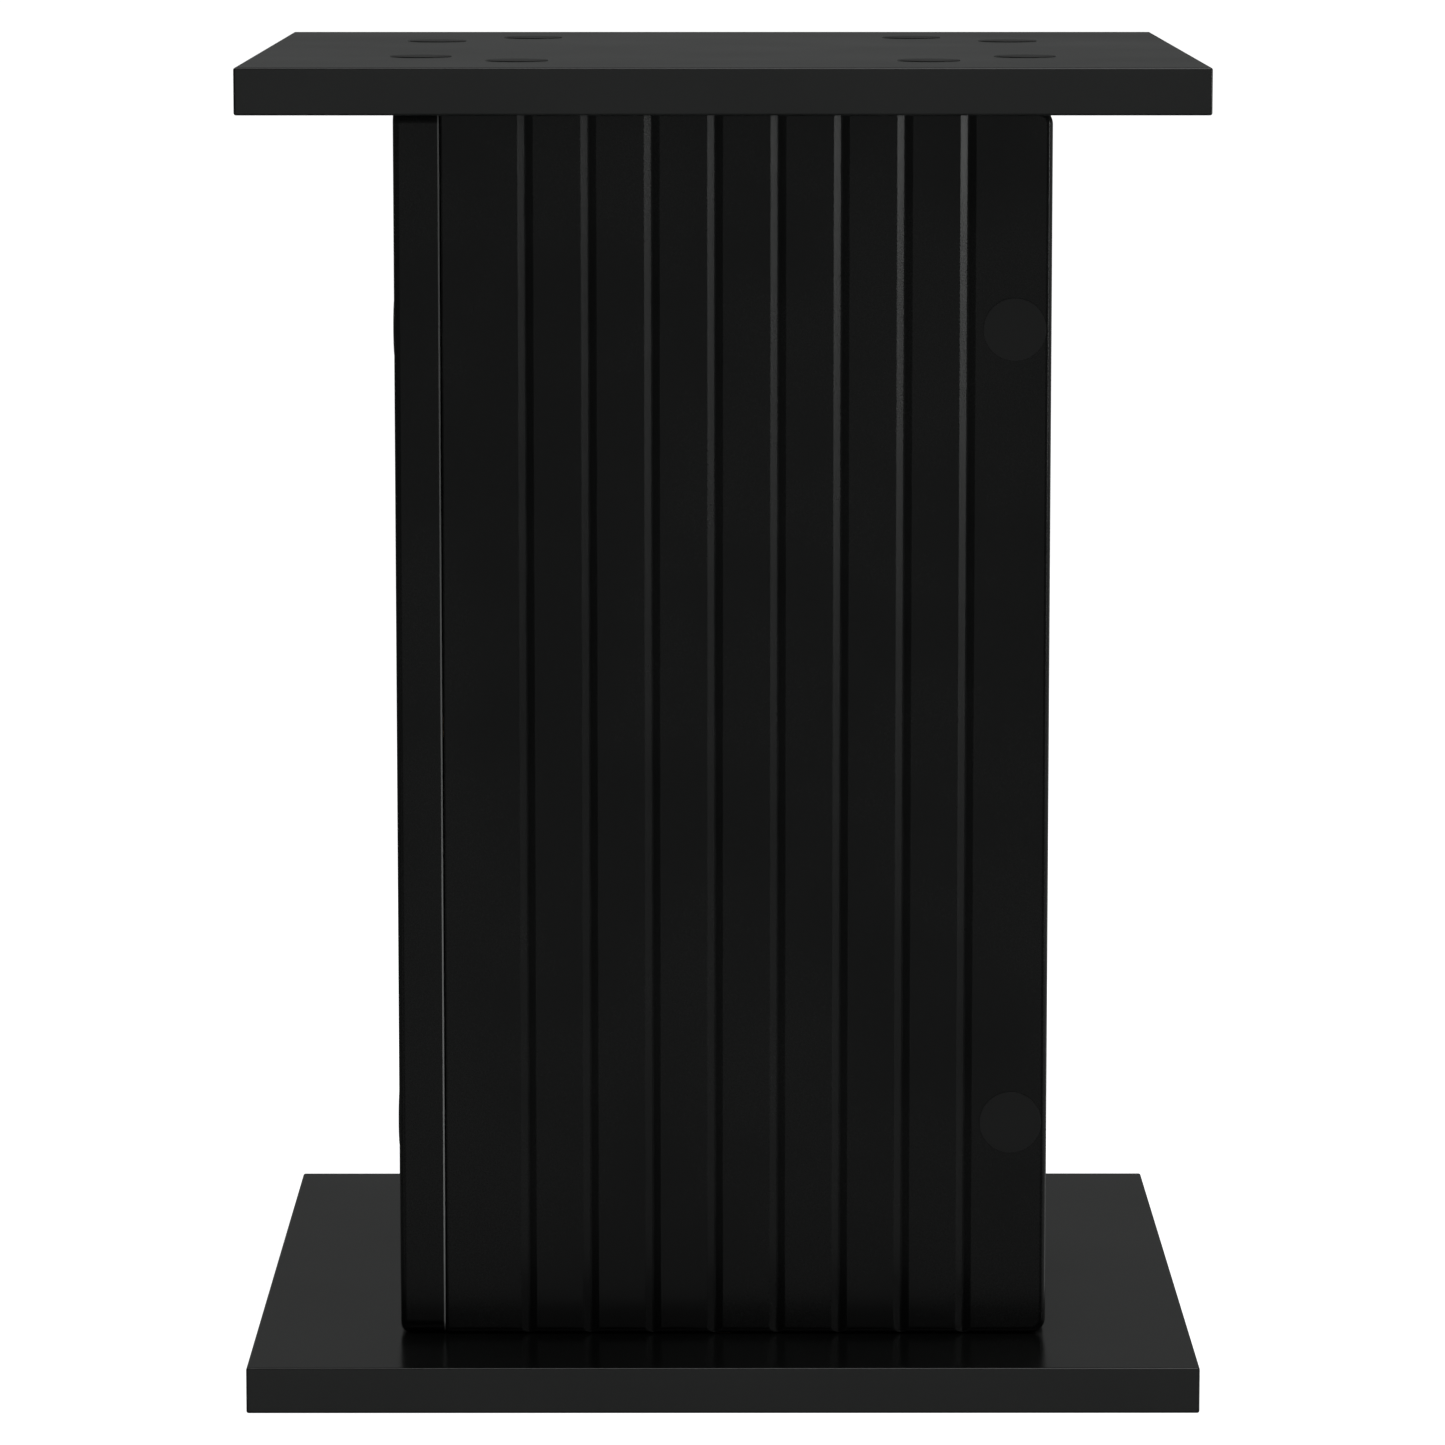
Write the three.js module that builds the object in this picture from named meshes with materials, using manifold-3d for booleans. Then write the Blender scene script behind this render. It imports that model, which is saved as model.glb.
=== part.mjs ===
// Display plinth: a square top plate and a square base plate joined by a hollow square column.
// Millimetres, +Z up. The origin is the middle of the base plate's underside, and the front faces -Y.
import * as THREE from 'three';
import { mergeVertices } from 'three/addons/utils/BufferGeometryUtils.js';
import Module from 'manifold-3d';

// Overall sizes. BOARD is 15 mm board with its foil on both faces.
const PLATE_SIDE = 320;
const HEIGHT = 450;
const BOARD = 15.6;
const PANEL_WIDTH = 205;
const JOINT_GAP = 0.3;
const CLEARANCE = 0.3;

// The panels' machining. A 120 degree cutter makes the grooves. BACK_CHAMFER is on the inner arris of the
// lapping end, and BUTT_CHAMFER is on the outer arris of the butting end.
const GROOVE_COUNT = 8;
const GROOVE_PITCH = 21.2;
const GROOVE_WIDTH = 5.4;
const GROOVE_DEPTH = (GROOVE_WIDTH / 2) * Math.tan(Math.PI / 6);
const FACE_ROUNDING = 2.4;
const FACE_ROUNDING_STEPS = 4;
const CORNER_RADIUS = 5;
const CORNER_STEPS = 4;
const BACK_CHAMFER = 0.6;
const BUTT_CHAMFER = 0.8;
const PLATE_ROUNDING = 0.8;
const PLATE_ROUNDING_STEPS = 2;

// One-piece connector screws, the same everywhere
const SCREW_LENGTH = 50;
const SCREW_SIDES = 10;
const HEAD_RADIUS = 5;
const HEAD_RIM = 0.9;
const HEAD_CONE = 1.8;
const THREAD_RADIUS = 3.2;
const TIP_RADIUS = 1.4;
const TIP_LENGTH = 4;
const SOCKET_RADIUS = 2.3;
const SOCKET_DEPTH = 2.6;
const HEAD_BELOW_FACE = 0.2;
const END_SCREW_OFFSET = 69;
const COLUMN_SCREW_FROM_END = 73.7;

// Fluted dowels, drawn as plain chamfered pegs
const DOWEL_RADIUS = 4;
const DOWEL_LENGTH = 30;
const DOWEL_IN_FACE = 10;
const DOWEL_CHAMFER = 0.8;
const DOWEL_SIDES = 10;

// Stick-on cover caps. CAP_FACE is how far a cap's outer face stands off the board.
const CAP_RADIUS = 10.5;
const CAP_FACE = 0.25;
const CAP_UNDERSIDE = 0.05;
const CAP_SIDES = 32;
const CAP_SEAT_DEPTH = 0.2;
const COLUMN_CAP_INSET = 12.4;

// How far a hole's tool stands above the board, and how near two points are to be one
const TOOL_ABOVE = 1;
const SAME_POINT = 1e-5;

// Sizes that follow from those above. Along a panel, PANEL_MIDDLE is the plinth's middle and LAP_LINE the
// middle of the neighbour that the panel laps, both from the panel's butted end.
const COLUMN_HALF = (PANEL_WIDTH + BOARD + JOINT_GAP) / 2;
const PANEL_HEIGHT = HEIGHT - 2 * BOARD - 2 * JOINT_GAP;
const PANEL_START = -COLUMN_HALF + BOARD + JOINT_GAP;
const PANEL_LIFT = BOARD + JOINT_GAP;
const PANEL_MIDDLE = -PANEL_START;
const LAP_LINE = PANEL_WIDTH - BOARD / 2;
const BOARD_LINE = COLUMN_HALF - BOARD / 2;
const DOWEL_MIDDLE_IN = DOWEL_LENGTH / 2 - DOWEL_IN_FACE;
const COLUMN_SCREW_HEIGHTS = [COLUMN_SCREW_FROM_END, PANEL_HEIGHT - COLUMN_SCREW_FROM_END];
const END_SCREW_PLACES = [-END_SCREW_OFFSET, END_SCREW_OFFSET];
const SIDES = ['front', 'right', 'back', 'left'];

const foil = new THREE.MeshStandardMaterial({ color: 0x171918, roughness: 0.42, metalness: 0 });
const capPlastic = new THREE.MeshStandardMaterial({ color: 0x1b1c1c, roughness: 0.5, metalness: 0 });
const zinc = new THREE.MeshStandardMaterial({ color: 0xb9bcbe, roughness: 0.35, metalness: 1 });
const beech = new THREE.MeshStandardMaterial({ color: 0xc79b67, roughness: 0.7, metalness: 0 });

const wasm = await Module();
wasm.setup();

// A closed geometry as a solid that can be cut.
function solidOf(geometry) {
  const bare = geometry.index ? geometry.toNonIndexed() : geometry.clone();
  bare.deleteAttribute('normal');
  bare.deleteAttribute('uv');
  const merged = mergeVertices(bare, SAME_POINT);
  const vertProperties = new Float32Array(merged.attributes.position.array);
  const triVerts = new Uint32Array(merged.index.array);
  return new wasm.Manifold(new wasm.Mesh({ numProp: 3, vertProperties, triVerts }));
}

function geometryOf(solid) {
  const mesh = solid.getMesh();
  const geometry = new THREE.BufferGeometry();
  geometry.setAttribute('position', new THREE.BufferAttribute(mesh.vertProperties, 3));
  geometry.setIndex(new THREE.BufferAttribute(mesh.triVerts, 1));
  geometry.computeVertexNormals();
  return geometry;
}

// A turned shape standing on Z, from [radius, height] points that run up its outside.
function turned(profile, sides) {
  const points = profile.map(([radius, height]) => new THREE.Vector2(radius, height));
  return new THREE.LatheGeometry(points, sides).rotateX(Math.PI / 2);
}

// A screw pointing down -Z with its head at the top. grow widens it all round to give the hole it needs.
function screwShape(grow) {
  const top = grow > 0 ? TOOL_ABOVE : -HEAD_BELOW_FACE;
  const rimEnd = -HEAD_BELOW_FACE - HEAD_RIM - grow;
  const threadEnd = TIP_LENGTH - SCREW_LENGTH;
  return turned(
    [
      [0, -SCREW_LENGTH - grow],
      [TIP_RADIUS + grow, -SCREW_LENGTH - grow],
      [THREAD_RADIUS + grow, threadEnd - grow],
      [THREAD_RADIUS + grow, rimEnd - HEAD_CONE],
      [HEAD_RADIUS + grow, rimEnd],
      [HEAD_RADIUS + grow, top],
      [0, top],
    ],
    SCREW_SIDES,
  );
}

// A dowel along Z, with its middle at the origin. grow widens and lengthens it to give its hole.
function dowelShape(grow) {
  const end = DOWEL_LENGTH / 2 + grow;
  const radius = DOWEL_RADIUS + grow;
  return turned(
    [
      [0, -end],
      [radius - DOWEL_CHAMFER, -end],
      [radius, -end + DOWEL_CHAMFER],
      [radius, end - DOWEL_CHAMFER],
      [radius - DOWEL_CHAMFER, end],
      [0, end],
    ],
    DOWEL_SIDES,
  );
}

function capShape() {
  return turned(
    [
      [0, CAP_UNDERSIDE],
      [CAP_RADIUS, CAP_UNDERSIDE],
      [CAP_RADIUS, CAP_FACE],
      [0, CAP_FACE],
    ],
    CAP_SIDES,
  );
}

function screwGeometry() {
  const socket = new THREE.CylinderGeometry(SOCKET_RADIUS, SOCKET_RADIUS, 2 * SOCKET_DEPTH, 6);
  socket.rotateX(Math.PI / 2).translate(0, 0, -HEAD_BELOW_FACE);
  return geometryOf(solidOf(screwShape(0)).subtract(solidOf(socket)));
}

// Where each fixing sits in a panel. A panel's own frame has X along its width, Y into the board from its
// outer face, and Z up from its lower end.
const toPanelEnd = new THREE.Matrix4().makeRotationX(Math.PI / 2);
const toPanelEdge = new THREE.Matrix4().makeRotationY(-Math.PI / 2);
const upsideDown = new THREE.Matrix4().makeRotationX(Math.PI);

function at(x, y, z, turn = new THREE.Matrix4()) {
  return new THREE.Matrix4().makeTranslation(x, y, z).multiply(turn);
}

// The screws and dowels that enter a panel, as places for the shapes above.
function panelFixings() {
  const screws = [];
  for (const height of COLUMN_SCREW_HEIGHTS) {
    screws.push(at(LAP_LINE, 0, height, toPanelEnd));
    screws.push(at(-BOARD - JOINT_GAP, BOARD / 2, height, toPanelEdge));
  }
  for (const offset of END_SCREW_PLACES) {
    screws.push(at(PANEL_MIDDLE + offset, BOARD / 2, PANEL_HEIGHT + PANEL_LIFT));
    screws.push(at(PANEL_MIDDLE + offset, BOARD / 2, -PANEL_LIFT, upsideDown));
  }
  const dowels = [
    at(PANEL_MIDDLE, BOARD / 2, PANEL_HEIGHT - DOWEL_MIDDLE_IN),
    at(PANEL_MIDDLE, BOARD / 2, DOWEL_MIDDLE_IN),
    at(LAP_LINE, BOARD + DOWEL_MIDDLE_IN, PANEL_HEIGHT / 2, toPanelEnd),
    at(DOWEL_MIDDLE_IN - JOINT_GAP, BOARD / 2, PANEL_HEIGHT / 2, toPanelEdge),
  ];
  return { screws, dowels };
}

function cutAll(solid, shape, places) {
  let result = solid;
  for (const place of places) {
    result = result.subtract(solidOf(shape.clone().applyMatrix4(place)));
  }
  return result;
}

// The grooved section of a panel, drawn in X and Y and drawn out along Z.
function panelSection() {
  const firstGroove = (PANEL_WIDTH - (GROOVE_COUNT - 1) * GROOVE_PITCH) / 2;
  const section = new THREE.Shape();
  section.moveTo(BUTT_CHAMFER, 0);
  for (let i = 0; i < GROOVE_COUNT; i += 1) {
    const middle = firstGroove + i * GROOVE_PITCH;
    section.lineTo(middle - GROOVE_WIDTH / 2, 0);
    section.lineTo(middle, GROOVE_DEPTH);
    section.lineTo(middle + GROOVE_WIDTH / 2, 0);
  }
  section.lineTo(PANEL_WIDTH, 0);
  section.lineTo(PANEL_WIDTH, BOARD - BACK_CHAMFER);
  section.lineTo(PANEL_WIDTH - BACK_CHAMFER, BOARD);
  section.lineTo(0, BOARD);
  section.lineTo(0, BUTT_CHAMFER);
  section.closePath();
  return new THREE.ExtrudeGeometry(section, { depth: PANEL_HEIGHT, bevelEnabled: false });
}

// A block with the lapping end's round corners and the rounded front edges. It runs past the board behind and
// at the butting end, which is cut off square.
function panelOutline() {
  const outline = new THREE.Shape();
  outline.moveTo(-CORNER_RADIUS, 0);
  outline.lineTo(PANEL_WIDTH - CORNER_RADIUS, 0);
  outline.absarc(PANEL_WIDTH - CORNER_RADIUS, CORNER_RADIUS, CORNER_RADIUS, -Math.PI / 2, 0);
  outline.lineTo(PANEL_WIDTH, PANEL_HEIGHT - CORNER_RADIUS);
  outline.absarc(PANEL_WIDTH - CORNER_RADIUS, PANEL_HEIGHT - CORNER_RADIUS, CORNER_RADIUS, 0, Math.PI / 2);
  outline.lineTo(-CORNER_RADIUS, PANEL_HEIGHT);
  outline.closePath();
  const block = new THREE.ExtrudeGeometry(outline, {
    depth: BOARD,
    curveSegments: CORNER_STEPS,
    bevelThickness: FACE_ROUNDING,
    bevelSize: FACE_ROUNDING,
    bevelOffset: -FACE_ROUNDING,
    bevelSegments: FACE_ROUNDING_STEPS,
  });
  return block.rotateX(Math.PI / 2).translate(0, BOARD + FACE_ROUNDING, 0);
}

function panelGeometry() {
  const { screws, dowels } = panelFixings();
  let panel = solidOf(panelSection()).intersect(solidOf(panelOutline()));
  panel = cutAll(panel, screwShape(CLEARANCE), screws);
  panel = cutAll(panel, dowelShape(CLEARANCE), dowels);
  return geometryOf(panel);
}

// A plate lying on Z = 0 with its outer face up.
function plateBlank() {
  const half = PLATE_SIDE / 2;
  const square = new THREE.Shape();
  square.moveTo(-half, -half);
  square.lineTo(half, -half);
  square.lineTo(half, half);
  square.lineTo(-half, half);
  square.closePath();
  const blank = new THREE.ExtrudeGeometry(square, {
    depth: BOARD - 2 * PLATE_ROUNDING,
    bevelThickness: PLATE_ROUNDING,
    bevelSize: PLATE_ROUNDING,
    bevelOffset: -PLATE_ROUNDING,
    bevelSegments: PLATE_ROUNDING_STEPS,
  });
  return blank.translate(0, 0, PLATE_ROUNDING);
}

function plateGeometry(withCapSeats) {
  const turns = SIDES.map((_, i) => new THREE.Matrix4().makeRotationZ((i * Math.PI) / 2));
  const screws = [];
  const dowels = [];
  for (const turn of turns) {
    for (const offset of END_SCREW_PLACES) {
      screws.push(turn.clone().multiply(at(offset, -BOARD_LINE, BOARD)));
    }
    dowels.push(turn.clone().multiply(at(0, -BOARD_LINE, -JOINT_GAP - DOWEL_MIDDLE_IN)));
  }
  let plate = solidOf(plateBlank());
  plate = cutAll(plate, screwShape(CLEARANCE), screws);
  plate = cutAll(plate, dowelShape(CLEARANCE), dowels);
  if (withCapSeats) {
    const seatRadius = CAP_RADIUS + CLEARANCE;
    const seat = new THREE.CylinderGeometry(seatRadius, seatRadius, 2 * CAP_SEAT_DEPTH, CAP_SIDES);
    plate = cutAll(plate, seat.rotateX(Math.PI / 2), screws);
  }
  return geometryOf(plate);
}

function piece(name, geometry, material, place = new THREE.Matrix4()) {
  const mesh = new THREE.Mesh(geometry, material);
  mesh.name = name;
  mesh.applyMatrix4(place);
  return mesh;
}

const screw = screwGeometry();
const dowel = dowelShape(0);
const cap = capShape();
const panel = panelGeometry();

const plinth = new THREE.Group();

const topPlate = new THREE.Group();
topPlate.position.z = HEIGHT - BOARD;
topPlate.add(piece('top_plate', plateGeometry(true), foil));
plinth.add(topPlate);

const basePlate = new THREE.Group();
basePlate.rotation.x = Math.PI;
basePlate.position.z = BOARD;
basePlate.add(piece('base_plate', plateGeometry(false), foil));
plinth.add(basePlate);

// Each side of the column with everything that belongs to it, turned a quarter at a time
SIDES.forEach((side, i) => {
  const turn = new THREE.Group();
  turn.rotation.z = (i * Math.PI) / 2;
  plinth.add(turn);

  const panelGroup = new THREE.Group();
  panelGroup.position.set(PANEL_START, -COLUMN_HALF, PANEL_LIFT);
  panelGroup.add(piece(`${side}_panel`, panel, foil));
  turn.add(panelGroup);

  COLUMN_SCREW_HEIGHTS.forEach((height, j) => {
    const level = j === 0 ? 'lower' : 'upper';
    const onCap = at(PANEL_WIDTH - COLUMN_CAP_INSET, 0, height, toPanelEnd);
    panelGroup.add(piece(`column_screw_${side}_${level}`, screw, zinc, at(LAP_LINE, 0, height, toPanelEnd)));
    panelGroup.add(piece(`column_cap_${side}_${level}`, cap, capPlastic, onCap));
  });

  END_SCREW_PLACES.forEach((offset, j) => {
    const end = j === 0 ? 'a' : 'b';
    turn.add(piece(`top_screw_${side}_${end}`, screw, zinc, at(offset, -BOARD_LINE, HEIGHT)));
    turn.add(piece(`top_cap_${side}_${end}`, cap, capPlastic, at(offset, -BOARD_LINE, HEIGHT)));
    turn.add(piece(`base_screw_${side}_${end}`, screw, zinc, at(offset, -BOARD_LINE, 0, upsideDown)));
  });

  const upperDowel = at(PANEL_MIDDLE, BOARD / 2, PANEL_HEIGHT - DOWEL_MIDDLE_IN);
  const lowerDowel = at(PANEL_MIDDLE, BOARD / 2, DOWEL_MIDDLE_IN);
  const cornerDowel = at(LAP_LINE, BOARD + DOWEL_MIDDLE_IN, PANEL_HEIGHT / 2, toPanelEnd);
  panelGroup.add(piece(`end_dowel_${side}_top`, dowel, beech, upperDowel));
  panelGroup.add(piece(`end_dowel_${side}_base`, dowel, beech, lowerDowel));
  panelGroup.add(piece(`corner_dowel_${side}`, dowel, beech, cornerDowel));
});

export default plinth;
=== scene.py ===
import math

import bpy
from mathutils import Matrix, Vector


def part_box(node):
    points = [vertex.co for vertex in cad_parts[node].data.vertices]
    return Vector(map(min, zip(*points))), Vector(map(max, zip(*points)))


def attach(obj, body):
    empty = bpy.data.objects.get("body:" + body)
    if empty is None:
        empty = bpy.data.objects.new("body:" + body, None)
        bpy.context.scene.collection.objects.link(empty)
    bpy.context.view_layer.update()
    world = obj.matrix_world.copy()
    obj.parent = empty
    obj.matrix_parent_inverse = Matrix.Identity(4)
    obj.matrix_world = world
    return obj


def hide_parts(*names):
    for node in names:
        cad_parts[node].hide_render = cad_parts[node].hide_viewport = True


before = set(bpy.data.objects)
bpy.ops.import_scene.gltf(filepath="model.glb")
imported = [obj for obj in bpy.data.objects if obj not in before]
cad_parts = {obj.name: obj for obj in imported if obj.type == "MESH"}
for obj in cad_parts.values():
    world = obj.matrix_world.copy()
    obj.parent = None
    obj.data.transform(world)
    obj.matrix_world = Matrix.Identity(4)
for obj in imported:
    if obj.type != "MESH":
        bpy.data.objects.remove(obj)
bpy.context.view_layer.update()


# ------------------------------------------------------------------ base plate
# The foot of the plinth: a square of 15 mm board wrapped in black satin foil, its edges just broken with
# sandpaper. The column stands on it and is screwed on from below, through countersunk holes.

MM = 0.001
PLATE_EDGE = 0.8 * MM


def only(piece):
    """Selects one piece and nothing else."""
    bpy.ops.object.select_all(action="DESELECT")
    piece.select_set(True)
    bpy.context.view_layer.objects.active = piece


def block_between(name, low, high):
    bpy.ops.object.select_all(action="DESELECT")
    bpy.ops.mesh.primitive_cube_add(size=1, location=(low + high) / 2, scale=high - low)
    bpy.ops.object.transform_apply(location=True, rotation=True, scale=True)
    piece = bpy.context.object
    piece.name = piece.data.name = name
    return piece


def bevel_edges(piece, wanted, width, steps):
    """Rounds the edges whose two ends pass wanted."""
    only(piece)
    bpy.ops.object.mode_set(mode="EDIT")
    bpy.ops.mesh.select_mode(type="EDGE")
    bpy.ops.mesh.select_all(action="DESELECT")
    bpy.ops.object.mode_set(mode="OBJECT")
    for edge in piece.data.edges:
        a, b = (piece.data.vertices[v].co for v in edge.vertices)
        edge.select = wanted(a, b)
    bpy.ops.object.mode_set(mode="EDIT")
    bpy.ops.mesh.bevel(offset=width, segments=steps, profile=0.5, affect="EDGES")
    bpy.ops.object.mode_set(mode="OBJECT")


def turned(name, profile, sides):
    """A piece turned on the Z axis, drawn up ring by ring from (radius, height) pairs."""
    bpy.ops.object.select_all(action="DESELECT")
    radius, height = profile[0]
    foot = (0, 0, height)
    bpy.ops.mesh.primitive_circle_add(vertices=sides, radius=radius, fill_type="NGON", location=foot)
    bpy.ops.object.transform_apply(location=True, rotation=True, scale=True)
    piece = bpy.context.object
    piece.name = piece.data.name = name
    bpy.ops.object.mode_set(mode="EDIT")
    bpy.ops.mesh.select_mode(type="FACE")
    bpy.ops.mesh.select_all(action="SELECT")
    for next_radius, next_height in profile[1:]:
        rise = (0, 0, next_height - height)
        bpy.ops.mesh.extrude_region_move(TRANSFORM_OT_translate={"value": rise})
        ratio = next_radius / radius
        bpy.ops.transform.resize(value=(ratio, ratio, 1), center_override=(0, 0, next_height))
        radius, height = next_radius, next_height
    bpy.ops.mesh.select_all(action="SELECT")
    bpy.ops.mesh.normals_make_consistent(inside=False)
    bpy.ops.object.mode_set(mode="OBJECT")
    return piece


def scrap(piece):
    bpy.data.objects.remove(piece)


def cut(piece, tool):
    """Cuts a piece with a tool, which is used up."""
    only(piece)
    carve = piece.modifiers.new("cut", "BOOLEAN")
    carve.solver = "EXACT"
    carve.object = tool
    bpy.ops.object.modifier_apply(modifier=carve.name)
    scrap(tool)


def finish_surface(piece, angle=30):
    """Smooth shading that keeps flat faces flat and hard edges hard."""
    only(piece)
    bpy.ops.object.shade_smooth_by_angle(angle=math.radians(angle))
    weights = piece.modifiers.new("weights", "WEIGHTED_NORMAL")
    weights.keep_sharp = True
    weights.weight = 100
    bpy.ops.object.modifier_apply(modifier=weights.name)


class Signal:
    """A value in a shader. Sums on it add the Math nodes that they need."""

    def __init__(self, shader, socket):
        self.shader = shader
        self.socket = socket

    def math(self, operation, *others):
        values = dict(enumerate([self, *others]))
        return self.shader.node("ShaderNodeMath", {"operation": operation}, values)

    def __add__(self, other):
        return self.math("ADD", other)

    def __sub__(self, other):
        return self.math("SUBTRACT", other)

    def __mul__(self, other):
        return self.math("MULTIPLY", other)

    def __rsub__(self, other):
        return self.shader.node("ShaderNodeMath", {"operation": "SUBTRACT"}, {0: other, 1: self})

    def between(self, low, high):
        """0 below low and 1 above high, eased in between."""
        settings = {"interpolation_type": "SMOOTHSTEP"}
        return self.shader.node("ShaderNodeMapRange", settings, {0: self, 1: low, 2: high})

    __radd__ = __add__
    __rmul__ = __mul__


class Shader:
    """The nodes of one material or of the world."""

    def __init__(self, owner):
        owner.use_nodes = True
        self.tree = owner.node_tree
        self.tree.nodes.clear()

    def node(self, kind, settings=None, values=None, out=0):
        made = self.tree.nodes.new(kind)
        for key, value in (settings or {}).items():
            setattr(made, key, value)
        for key, value in (values or {}).items():
            if isinstance(value, Signal):
                self.tree.links.new(value.socket, made.inputs[key])
            else:
                made.inputs[key].default_value = value
        return Signal(self, made.outputs[out]) if made.outputs else None

    def place(self, stretch=(1, 1, 1)):
        """Where a point is on the object. An axis with a small stretch draws patterns out along it."""
        where = self.node("ShaderNodeTexCoord", out="Object")
        return self.node("ShaderNodeMapping", values={"Vector": where, "Scale": stretch})

    def noise(self, where, scale, detail=2.0, roughness=0.5):
        values = {"Vector": where, "Scale": scale, "Detail": detail, "Roughness": roughness}
        return self.node("ShaderNodeTexNoise", values=values)

    def mix(self, share, a, b):
        """A colour that goes from a to b."""
        made = self.tree.nodes.new("ShaderNodeMix")
        made.data_type = "RGBA"
        for socket, value in ((made.inputs[0], share), (made.inputs[6], a), (made.inputs[7], b)):
            if isinstance(value, Signal):
                self.tree.links.new(value.socket, socket)
            else:
                socket.default_value = value
        return Signal(self, made.outputs[2])

    def along(self, a, b):
        """How far two directions agree, as a cosine."""
        return self.node("ShaderNodeVectorMath", {"operation": "DOT_PRODUCT"}, {0: a, 1: b}, out="Value")

    def bump(self, height, strength, distance):
        values = {"Strength": strength, "Distance": distance, "Height": height}
        return self.node("ShaderNodeBump", values=values)

    def surface(self, values):
        """The finished surface, from what goes into the Principled shader."""
        made = self.node("ShaderNodeBsdfPrincipled", values=values)
        self.node("ShaderNodeOutputMaterial", values={"Surface": made})


def worn_edges(shader, radius):
    """1 along arrises and 0 on flats, from how far a softened normal leans away from the real one."""
    soft = shader.node("ShaderNodeBevel", {"samples": 6}, {"Radius": radius})
    true = shader.node("ShaderNodeNewGeometry", out="Normal")
    return (1 - shader.along(soft, true)).between(0.002, 0.12)


def foil(name, dark, pale, specular, gloss, grain):
    """Black decor foil pressed on board, with fine pores, a slow mottle in its gloss and rubbed arrises."""
    material = bpy.data.materials.new(name)
    shader = Shader(material)
    where = shader.place()
    mottle = shader.noise(where, 14, 3)
    pores = shader.noise(where, 1500, 2, 0.6)
    peel = shader.noise(where, 210, 1)
    rubbed = worn_edges(shader, 1.5 * PLATE_EDGE) * shader.noise(where, 60, 3).between(0.3, 0.75)
    colour = shader.mix(mottle.between(0.3, 0.7) * 0.6 + pores.between(0.45, 0.7) * 0.4, dark, pale)
    colour = shader.mix(rubbed * 0.35, colour, (0.05, 0.052, 0.051, 1))
    roughness = mottle * 0.12 + pores * 0.08 + rubbed * 0.1 + gloss
    values = {
        "Base Color": colour,
        "Roughness": roughness,
        "Normal": shader.bump(pores * grain + peel * 0.5, 0.4, 0.04 * MM),
        "Specular IOR Level": specular,
    }
    shader.surface(values)
    return material


plate_foil = foil(
    "plate_foil",
    dark=(0.0036, 0.0041, 0.0038, 1),
    pale=(0.0076, 0.0081, 0.0078, 1),
    specular=0.5,
    gloss=0.12,
    grain=0.6,
)


def dress(piece, material, slot, *nodes):
    """Gives a finished piece its main material, hangs it under the root body and hides the CAD nodes that it
    stands for.
    """
    if not piece.data.materials:
        piece.data.materials.append(material)
    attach(piece, "root")
    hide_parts(*nodes)


base_low, base_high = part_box("base_plate")
BOARD = base_high.z - base_low.z
SCREW_HEAD = 5.0 * MM
SCREW_BODY = 3.5 * MM
HEAD_DEPTH = 2.9 * MM
HEAD_RIM = 1.1 * MM
HOLE_SLACK = 0.15 * MM
DOWEL_HOLE = 4.0 * MM
HOLE_SIDES = 48
CUT_PAST = 3.0 * MM


def pointing(along, place):
    """Turns +Z to a direction and moves the origin to a place."""
    return Matrix.Translation(place) @ along.to_track_quat("Z", "Y").to_matrix().to_4x4()


def screw_hole(head, outward):
    """The countersink and hole of one connector screw, through a whole board. Its mouth is at head."""
    profile = [
        (SCREW_BODY + HOLE_SLACK, -BOARD - CUT_PAST),
        (SCREW_BODY + HOLE_SLACK, -HEAD_DEPTH),
        (SCREW_HEAD + HOLE_SLACK, -HEAD_RIM),
        (SCREW_HEAD + HOLE_SLACK, CUT_PAST),
    ]
    tool = turned("screw_hole", profile, HOLE_SIDES)
    tool.data.transform(pointing(outward, head))
    return tool


def long_axis(size):
    """Which of X, Y and Z a piece is longest along."""
    return list(size).index(max(size))


def bore(node, radius):
    """A drilled hole that takes a whole screw or dowel."""
    low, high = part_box(node)
    size = high - low
    depth = max(size) + 2 * HOLE_SLACK
    bpy.ops.object.select_all(action="DESELECT")
    bpy.ops.mesh.primitive_cylinder_add(vertices=HOLE_SIDES, radius=radius, depth=depth)
    tool = bpy.context.object
    tool.data.transform(pointing(Matrix.Identity(3)[long_axis(size)], (low + high) / 2))
    return tool


def nodes_named(start):
    return [node for node in sorted(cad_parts) if node.startswith(start)]


def make_plate(level, outward):
    name = level + "_plate"
    low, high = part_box(name)
    plate = block_between(name + "_board", low, high)
    bevel_edges(plate, lambda a, b: True, PLATE_EDGE, 5)
    for screw in nodes_named(level + "_screw"):
        screw_low, screw_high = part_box(screw)
        head = (screw_low + screw_high) / 2
        head.z = high.z if outward.z > 0 else low.z
        cut(plate, screw_hole(head, outward))
    for dowel in nodes_named("end_dowel"):
        if dowel.endswith(level):
            cut(plate, bore(dowel, DOWEL_HOLE))
    finish_surface(plate)
    dress(plate, plate_foil, "foil_board", name)


DOWN = Vector((0, 0, -1))
make_plate("base", DOWN)


# --------------------------------------------------------------- column panels
# Four alike MDF panels, machined with a 120 degree cutter into eight upright grooves, edged with a soft
# round, and wrapped with foil under vacuum. They stand in a pinwheel: each one's right-hand end laps the
# edge of the next, and its left-hand end is cut square and butts against the last.

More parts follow.
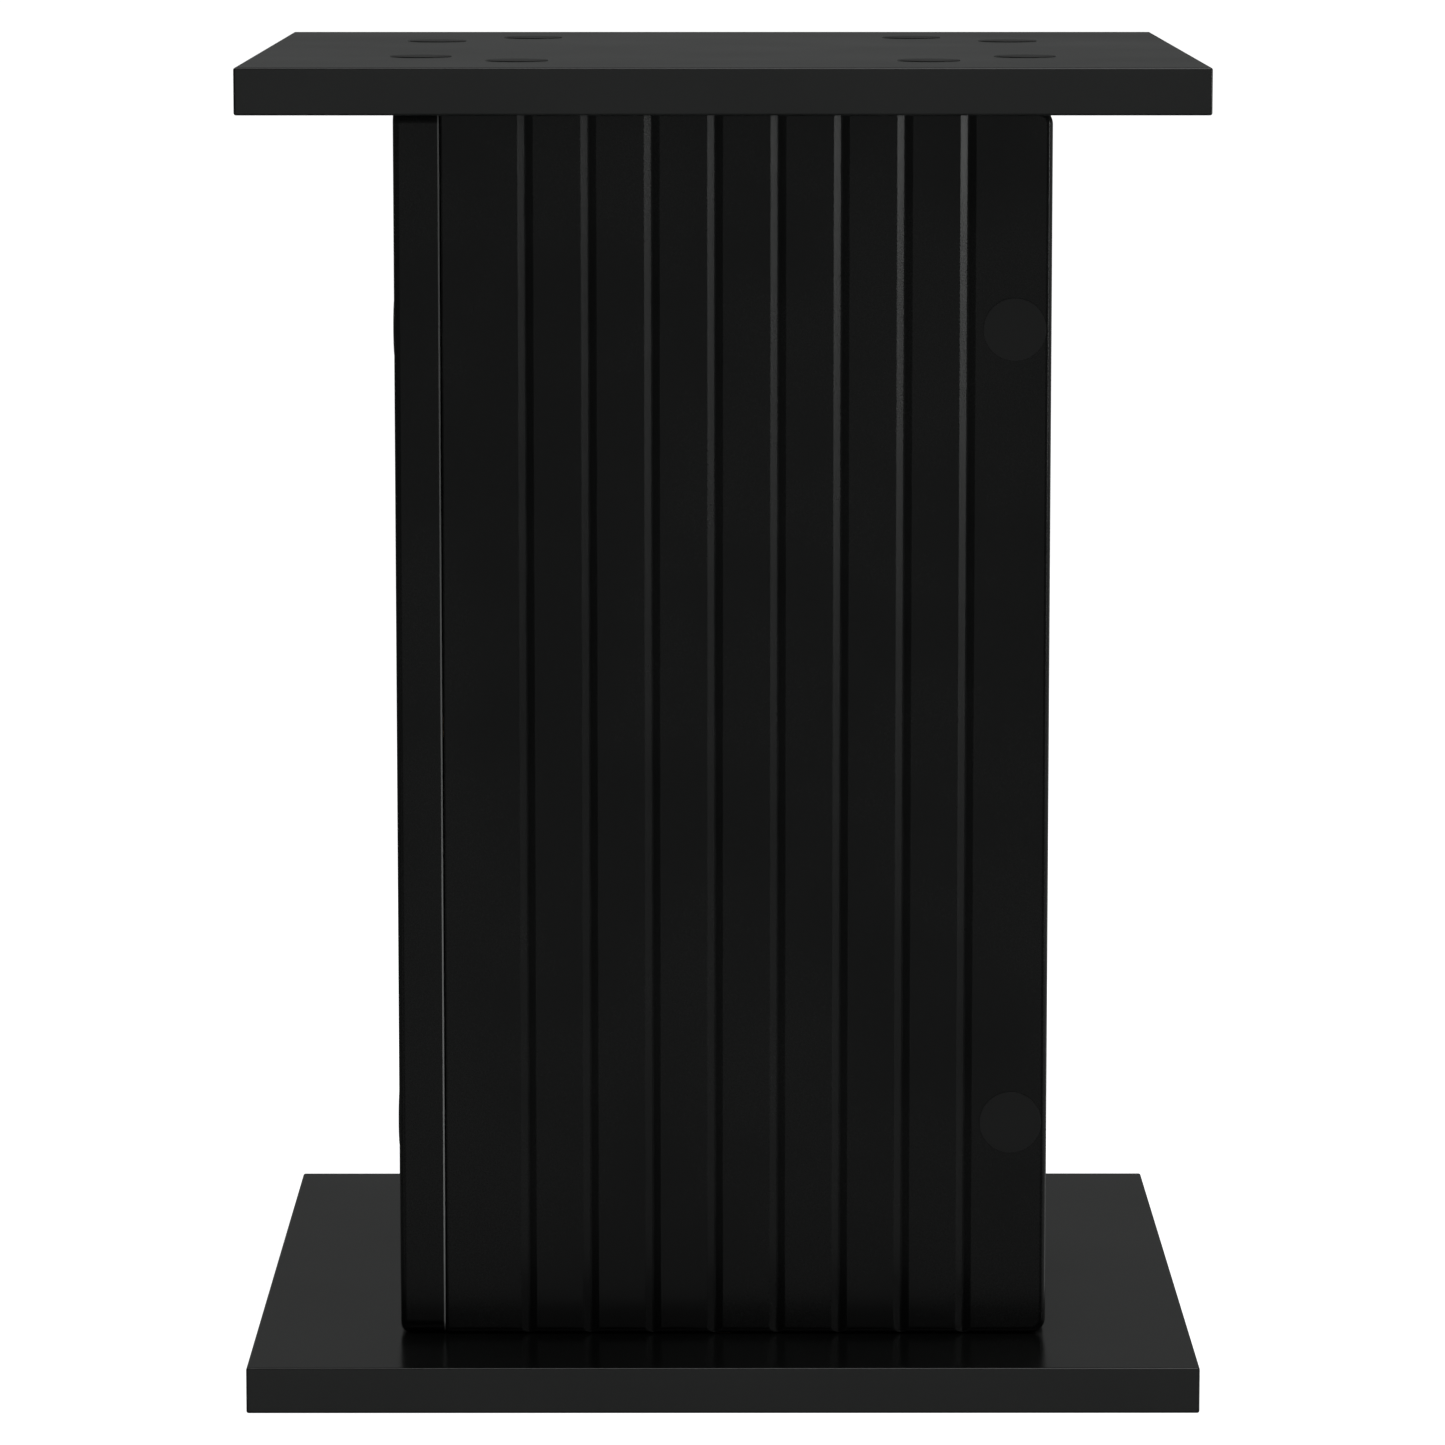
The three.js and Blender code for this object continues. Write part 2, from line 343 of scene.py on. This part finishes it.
FACE_EDGE = 2.4 * MM
LAP_CORNER = 5.0 * MM
LAP_ARRIS = 0.6 * MM
BUTT_ARRIS = 0.8 * MM
GROOVES = 8
GROOVE_PITCH = 21.2 * MM
GROOVE_HALF = 2.7 * MM
GROOVE_DEPTH = GROOVE_HALF * math.tan(math.radians(30))
GROOVE_FLOOR = 0.3 * MM
LIP_HALF = 2.78 * MM
LIP_DEPTH = LIP_HALF * math.tan(math.radians(15))

front_low, front_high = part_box("front_panel")


def copy_at(piece, name, place):
    """A copy of a piece with its own mesh, put in its place in the mesh."""
    twin = piece.copy()
    twin.data = piece.data.copy()
    twin.name = twin.data.name = name
    bpy.context.collection.objects.link(twin)
    twin.data.transform(place)
    return twin


def groove_tools(name, half, depth, floor_round):
    """Eight diamond bars lying in the panel's face. The half of each that is in the board cuts a V."""
    middle = (front_low.x + front_high.x) / 2
    height = front_high.z - front_low.z
    bars = []
    for i in range(GROOVES):
        across = middle + (i - (GROOVES - 1) / 2) * GROOVE_PITCH
        bpy.ops.object.select_all(action="DESELECT")
        bpy.ops.mesh.primitive_cylinder_add(vertices=4, radius=1, depth=2)
        bar = bpy.context.object
        bar.scale = (half, depth, height)
        bar.location = (across, front_low.y, (front_low.z + front_high.z) / 2)
        bpy.ops.object.transform_apply(location=True, rotation=True, scale=True)
        if floor_round:
            floor = front_low.y + depth * 0.9
            bevel_edges(bar, lambda a, b: a.y > floor and b.y > floor, floor_round, 4)
        bars.append(bar)
    bpy.ops.object.select_all(action="DESELECT")
    for bar in bars:
        bar.select_set(True)
    bpy.context.view_layer.objects.active = bars[0]
    bpy.ops.object.join()
    bars[0].name = name
    return bars[0]


# Edges are picked by how they lie to these lines, each just inside one side of the board
panel = block_between("front_panel_board", front_low, front_high)
TINY = 0.05 * MM
skin = front_low.y + TINY
inside = front_high.y - TINY
lap_end = front_high.x - TINY
butt_end = front_low.x + TINY
corner = front_high.x - LAP_CORNER - TINY
rounding = skin + FACE_EDGE
bevel_edges(panel, lambda a, b: abs(a.y - b.y) > BOARD / 2 and min(a.x, b.x) > lap_end, LAP_CORNER, 10)
bevel_edges(panel, lambda a, b: max(a.y, b.y) < skin and max(a.x, b.x) > butt_end, FACE_EDGE, 8)
bevel_edges(panel, lambda a, b: max(a.y, b.y) < rounding and max(a.x, b.x) < butt_end, BUTT_ARRIS, 4)
bevel_edges(panel, lambda a, b: min(a.y, b.y) > inside and min(a.x, b.x) > corner, LAP_ARRIS, 3)

# The grooves, and then the shallower slopes that their lips have under the foil
cut(panel, groove_tools("grooves", GROOVE_HALF, GROOVE_DEPTH, GROOVE_FLOOR))
cut(panel, groove_tools("groove_lips", LIP_HALF, LIP_DEPTH, 0))

# Countersunk holes through the lapping end, and blind holes for what enters from the next boards
FORWARD = Vector((0, -1, 0))
for node in nodes_named("column_screw_front"):
    low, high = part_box(node)
    head = (low + high) / 2
    head.y = front_low.y
    cut(panel, screw_hole(head, FORWARD))
for start in ("column_screw_left", "top_screw_front", "base_screw_front"):
    for node in nodes_named(start):
        cut(panel, bore(node, SCREW_BODY + HOLE_SLACK))
for node in nodes_named("end_dowel_front") + ["corner_dowel_front", "corner_dowel_left"]:
    cut(panel, bore(node, DOWEL_HOLE))


def painted_arris_highlight():
    """The back arris of a lapping end, painted pale grey as a highlight along its edge, and painted paler
    still towards its foot to make up for light that falls off there.
    """
    material = bpy.data.materials.new("painted_arris_highlight")
    shader = Shader(material)
    chatter = shader.noise(shader.place((1, 1, 0.08)), 1800, 3)
    height = shader.node("ShaderNodeSeparateXYZ", values={0: shader.place()}, out=2)
    # Painted highlight: the arris is coloured pale grey in place of the light that it would catch
    colour = shader.mix(chatter, (0.05, 0.052, 0.051, 1), (0.08, 0.083, 0.081, 1))
    # Painted light: the grey grows paler towards the foot, where the lamp's light falls off
    colour = shader.mix(1 - height.between(-0.04, 0.36), colour, (0.2, 0.204, 0.202, 1))
    bump = shader.bump(chatter, 0.3, 0.05 * MM)
    shader.surface({"Base Color": colour, "Roughness": chatter * 0.1 + 0.5, "Normal": bump})
    return material


panel_foil = foil(
    "panel_foil",
    dark=(0.0028, 0.003, 0.0029, 1),
    pale=(0.0062, 0.0065, 0.0063, 1),
    specular=0.19,
    gloss=0.1,
    grain=0.5,
)
panel.data.materials.append(panel_foil)
panel.data.materials.append(painted_arris_highlight())
for facet in panel.data.polygons:
    at_arris = facet.center.x > corner and facet.center.y > front_high.y - LAP_ARRIS
    slanted = 0.1 < facet.normal.y < 0.95
    facet.material_index = 1 if at_arris and slanted else 0

quarter_turns = {"front_panel": 0, "right_panel": 1, "back_panel": 2, "left_panel": 3}
for name, quarters in quarter_turns.items():
    board = copy_at(panel, name + "_foiled", Matrix.Rotation(quarters * math.pi / 2, 4, "Z"))
    finish_surface(board)
    dress(board, panel_foil, "foil_board", name)
scrap(panel)


# ---------------------------------------------------------------------- dowels
# Beech pegs glued in the panels' ends and corners, which keep the boards in line. They are cut from dry rod
# and pressed through a fluted die, so that spare glue can escape. The wood is left raw.

DOWEL_CHAMFER = 0.8 * MM
DOWEL_SIDES = 48
SIDES_PER_FLUTE = 4
FLUTE_DEPTH = 0.25 * MM


def fluted_dowel(name, radius, length):
    """A peg along Z with its middle at the origin. One line in four is pressed in to make its flutes."""
    end = length / 2
    profile = [
        (radius - DOWEL_CHAMFER, -end),
        (radius, DOWEL_CHAMFER - end),
        (radius, end - DOWEL_CHAMFER),
        (radius - DOWEL_CHAMFER, end),
    ]
    peg = turned(name, profile, DOWEL_SIDES)
    bpy.ops.object.mode_set(mode="EDIT")
    bpy.ops.mesh.select_mode(type="VERT")
    bpy.ops.mesh.select_all(action="DESELECT")
    bpy.ops.object.mode_set(mode="OBJECT")
    step = 2 * math.pi / DOWEL_SIDES
    for vertex in peg.data.vertices:
        place = round(math.atan2(vertex.co.y, vertex.co.x) / step)
        outside = vertex.co.xy.length > radius - DOWEL_CHAMFER / 2
        vertex.select = outside and place % SIDES_PER_FLUTE == SIDES_PER_FLUTE / 2
    bpy.ops.object.mode_set(mode="EDIT")
    inward = 1 - FLUTE_DEPTH / radius
    bpy.ops.transform.resize(value=(inward, inward, 1), center_override=(0, 0, 0))
    bpy.ops.object.mode_set(mode="OBJECT")
    return peg


def beech_wood(axis):
    """Raw beech with its grain along one axis."""
    material = bpy.data.materials.new("raw_beech_" + "xyz"[axis])
    shader = Shader(material)
    stretch = [1, 1, 1]
    stretch[axis] = 0.12
    where = shader.place(stretch)
    grain = shader.noise(where, 900, 4, 0.6)
    flecks = shader.noise(where, 2600, 1).between(0.6, 0.72)
    colour = shader.mix(grain, (0.62, 0.43, 0.25, 1), (0.47, 0.29, 0.15, 1))
    colour = shader.mix(flecks * 0.6, colour, (0.33, 0.18, 0.08, 1))
    bump = shader.bump(grain, 0.4, 0.1 * MM)
    shader.surface({"Base Color": colour, "Roughness": grain * 0.2 + 0.55, "Normal": bump})
    return material


beech = [beech_wood(axis) for axis in range(3)]
for node in nodes_named("end_dowel") + nodes_named("corner_dowel"):
    low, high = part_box(node)
    size = high - low
    axis = long_axis(size)
    peg = fluted_dowel(node + "_fluted", min(size) / 2, max(size))
    peg.data.transform(pointing(Matrix.Identity(3)[axis], (low + high) / 2))
    finish_surface(peg, 20)
    dress(peg, beech[axis], "beech_dowel", node)


# ---------------------------------------------------------------------- screws
# One-piece connector screws with a flat head and a hexagon socket, rolled from steel wire and zinc plated.
# They hold each corner of the column and both plates. Only the heads under the base plate are left bare.

def zinc_plate():
    material = bpy.data.materials.new("bright_zinc")
    shader = Shader(material)
    where = shader.place()
    cloud = shader.noise(where, 160, 3)
    scratch = shader.noise(where, 2200, 3, 0.7)
    colour = shader.mix(cloud, (0.56, 0.58, 0.6, 1), (0.72, 0.72, 0.7, 1))
    bump = shader.bump(scratch, 0.2, 0.03 * MM)
    shader.surface({"Base Color": colour, "Metallic": 1.0, "Roughness": cloud * 0.2 + 0.2, "Normal": bump})
    return material


zinc = zinc_plate()
SCREW_LENGTH = 50 * MM
POINT_LENGTH = 4.0 * MM
POINT_NOSE = 1.2 * MM
NOSE_RADIUS = 0.6 * MM
POINT_RADIUS = 1.4 * MM
THREADS = 11
THREAD_CORE = 2.5 * MM
THREAD_CREST = 3.45 * MM
THREAD_PITCH = 3.0 * MM
THREAD_RISE = 0.9 * MM
THREAD_LAND = 0.25 * MM
THREAD_FALL = 0.85 * MM
THREAD_ROOT_END = 2.95 * MM
COLLAR_RISE = 0.4 * MM
HEAD_RADIUS = SCREW_HEAD - 0.1 * MM
HEAD_HEIGHT = 1.0 * MM
HEAD_EDGE = 0.15 * MM
HEAD_BELOW = 0.2 * MM
SOCKET_RADIUS = 2.3 * MM
SOCKET_DEPTH = 2.6 * MM


def connector_screw():
    """A screw that hangs down -Z with its head's face just under the board's surface, at Z = 0."""
    tip = -SCREW_LENGTH
    thread_start = tip + POINT_LENGTH
    profile = [
        (NOSE_RADIUS, tip),
        (POINT_RADIUS, tip + POINT_NOSE),
        (THREAD_CORE, thread_start),
    ]
    for i in range(THREADS):
        foot = thread_start + i * THREAD_PITCH
        profile.append((THREAD_CREST, foot + THREAD_RISE))
        profile.append((THREAD_CREST, foot + THREAD_RISE + THREAD_LAND))
        profile.append((THREAD_CORE, foot + THREAD_RISE + THREAD_LAND + THREAD_FALL))
        profile.append((THREAD_CORE, foot + THREAD_ROOT_END))
    collar = thread_start + THREADS * THREAD_PITCH
    profile.append((THREAD_CREST, collar + COLLAR_RISE))
    profile.append((THREAD_CREST, -HEAD_BELOW - HEAD_DEPTH))
    profile.append((HEAD_RADIUS, -HEAD_BELOW - HEAD_HEIGHT))
    profile.append((HEAD_RADIUS, -HEAD_BELOW - HEAD_EDGE))
    profile.append((HEAD_RADIUS - HEAD_EDGE, -HEAD_BELOW))
    body = turned("connector_screw", profile, 32)
    bpy.ops.object.select_all(action="DESELECT")
    bpy.ops.mesh.primitive_cylinder_add(vertices=6, radius=SOCKET_RADIUS, depth=2 * SOCKET_DEPTH)
    socket = bpy.context.object
    socket.data.transform(Matrix.Translation((0, 0, -HEAD_BELOW)))
    cut(body, socket)
    return body


def outward_of(node):
    """Which way a screw's head or a cap faces."""
    if node.startswith("base"):
        return DOWN
    if node.startswith("top"):
        return -DOWN
    quarters = quarter_turns[node.split("_")[2] + "_panel"]
    return Matrix.Rotation(quarters * math.pi / 2, 3, "Z") @ FORWARD


model_screw = connector_screw()
for node in nodes_named("base_screw") + nodes_named("top_screw") + nodes_named("column_screw"):
    low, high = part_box(node)
    outward = outward_of(node)
    face = (low + high) / 2 + outward * (max(high - low) / 2 + HEAD_BELOW)
    screw = copy_at(model_screw, node + "_threaded", pointing(outward, face))
    finish_surface(screw)
    dress(screw, zinc, "zinc_screw", node)
scrap(model_screw)


# ----------------------------------------------------------------- cover caps
# Thin self-adhesive discs punched from black plastic film, with a slightly rounded rim. One covers each
# screw head on the column and on the top plate.

CAP_RIM = 0.06 * MM


def cap_film():
    material = bpy.data.materials.new("cap_film")
    shader = Shader(material)
    where = shader.place()
    haze = shader.noise(where, 90, 2)
    speckle = shader.noise(where, 3200, 2, 0.6)
    dark = (0.0062, 0.0066, 0.0064, 1)
    pale = (0.0092, 0.0097, 0.0094, 1)
    values = {
        "Base Color": shader.mix(haze * 0.7 + speckle * 0.3, dark, pale),
        "Roughness": haze * 0.1 + 0.3,
        "Normal": shader.bump(speckle, 0.3, 0.02 * MM),
        "Specular IOR Level": 0.29,
    }
    shader.surface(values)
    return material


film = cap_film()
for node in nodes_named("top_cap") + nodes_named("column_cap"):
    low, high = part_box(node)
    size = high - low
    radius = max(size) / 2
    thickness = min(size)
    profile = [
        (radius, 0),
        (radius, thickness - CAP_RIM),
        (radius - CAP_RIM * 0.3, thickness - CAP_RIM * 0.3),
        (radius - CAP_RIM, thickness),
    ]
    disc = turned(node + "_film", profile, 64)
    outward = outward_of(node)
    disc.data.transform(pointing(outward, (low + high) / 2 - outward * thickness / 2))
    finish_surface(disc, 60)
    dress(disc, film, "cover_cap", node)


# ------------------------------------------------------------------- top plate
# The same board as the base plate, laid face up to carry what is on show. Eight countersunk screws hold
# it to the column from above, each with its head under a cap.

make_plate("top", -DOWN)


# ---------------------------------------------------------------- floor, light
# A plain white floor without an edge in sight, lit by one broad overhead lamp. The black foil mirrors a dim
# room with pale cards in front and behind, a broad card to the right and a tall narrow lamp before it.

FLOOR_RADIUS = 90
LAMP_PLACE = Vector((0.5, -0.6, 2.6))
LAMP_AIM = Vector((0, 0, 0.2))
LAMP_SIDE = 2.0
LAMP_WATTS = 26
STRIP_TOP = 3
STRIP_FADE = 5
ROOM_GLOW = 0.055

bpy.ops.object.select_all(action="DESELECT")
bpy.ops.mesh.primitive_circle_add(vertices=96, radius=FLOOR_RADIUS, fill_type="NGON")
floor = bpy.context.object
floor.name = "studio_floor"
floor.visible_glossy = False
floor_paint = bpy.data.materials.new("white_floor")
floor_values = {
    "Base Color": (0.85, 0.85, 0.85, 1),
    "Roughness": 0.9,
    "Specular IOR Level": 0.0,
    "Emission Color": (1, 1, 1, 1),
    "Emission Strength": 0.95,
}
Shader(floor_paint).surface(floor_values)
floor.data.materials.append(floor_paint)

overhead = bpy.data.lights.new("overhead", "AREA")
overhead.shape = "SQUARE"
overhead.size = LAMP_SIDE
overhead.energy = LAMP_WATTS
overhead_stand = bpy.data.objects.new("overhead", overhead)
bpy.context.collection.objects.link(overhead_stand)
overhead_stand.location = LAMP_PLACE
overhead_stand.rotation_euler = (LAMP_PLACE - LAMP_AIM).to_track_quat("Z", "Y").to_euler()

world = bpy.data.worlds.new("room")
bpy.context.scene.world = world
room = Shader(world)
direction = room.node("ShaderNodeTexCoord", out="Generated")


def sine(degrees):
    return math.sin(math.radians(degrees))


def cosine(degrees):
    return math.cos(math.radians(degrees))


def card(azimuth, elevation, inner, outer, glow):
    """A soft round patch of light in the room. Azimuth 0 is in front and 90 to the right, in degrees."""
    level = cosine(elevation)
    middle = (sine(azimuth) * level, -cosine(azimuth) * level, sine(elevation))
    return room.along(direction, middle).between(cosine(outer), cosine(inner)) * glow


def tall_lamp(azimuth, half_width, softness, low, high, glow):
    """An upright strip of light from a narrow soft box. It comes up from low to high and ends at its top."""
    ahead = room.along(direction, (sine(azimuth), -cosine(azimuth), 0)).between(0, 0.2)
    aside = room.along(direction, (cosine(azimuth), sine(azimuth), 0)).math("ABSOLUTE")
    height = room.along(direction, (0, 0, 1))
    across = 1 - aside.between(sine(half_width - softness), sine(half_width + softness))
    top = height.between(sine(STRIP_TOP), sine(STRIP_TOP + STRIP_FADE))
    return across * (height.between(sine(low), sine(high)) - top) * ahead * glow


# The cards in front, low for the column's flats and high for what the base plate mirrors
glow = card(0, -8, 9, 21, 0.3)
glow = glow + card(0, 16, 4, 13, 0.4)
# The tall lamp that lights one slope of each groove, and the broad card beside it
glow = glow + tall_lamp(64.8, 2.0, 1.6, -7, -0.8, 21)
glow = glow + card(95, -6, 20, 55, 0.5)
# Dim cards at the right, the left and behind, which edge the faces that turn away
glow = glow + card(128, -22, 8, 20, 0.6)
glow = glow + card(-45, -20, 8, 14, 0.3)
glow = glow + card(-140, 25, 12, 30, 0.5)
glow = glow + card(180, 5, 30, 60, 0.06)
glow = glow + ROOM_GLOW
seen = room.node("ShaderNodeLightPath", out="Is Camera Ray")
dim = room.node("ShaderNodeBackground", values={"Color": (0.98, 1.0, 0.99, 1), "Strength": glow})
white = room.node("ShaderNodeBackground", values={"Color": (1, 1, 1, 1), "Strength": 1.0})
both = room.node("ShaderNodeMixShader", values={0: seen, 1: dim, 2: white})
room.node("ShaderNodeOutputWorld", values={"Surface": both})
bpy.context.scene.view_settings.view_transform = "Standard"


# ---------------------------------------------------------------------- camera
# A long lens a little above the top plate, tipped down so that the whole plinth fills the frame.

EYE = Vector((-0.0026, -2.367, 0.542))
TIP_DOWN = math.radians(7.94)
LENS = 167.8

lens = bpy.data.cameras.new("camera")
lens.lens = LENS
lens.sensor_width = 36
lens.clip_start = 0.1
lens.clip_end = 300
camera = bpy.data.objects.new("camera", lens)
bpy.context.collection.objects.link(camera)
camera.location = EYE
camera.rotation_euler = (math.pi / 2 - TIP_DOWN, 0, math.atan2(EYE.x, -EYE.y))
bpy.context.scene.camera = camera
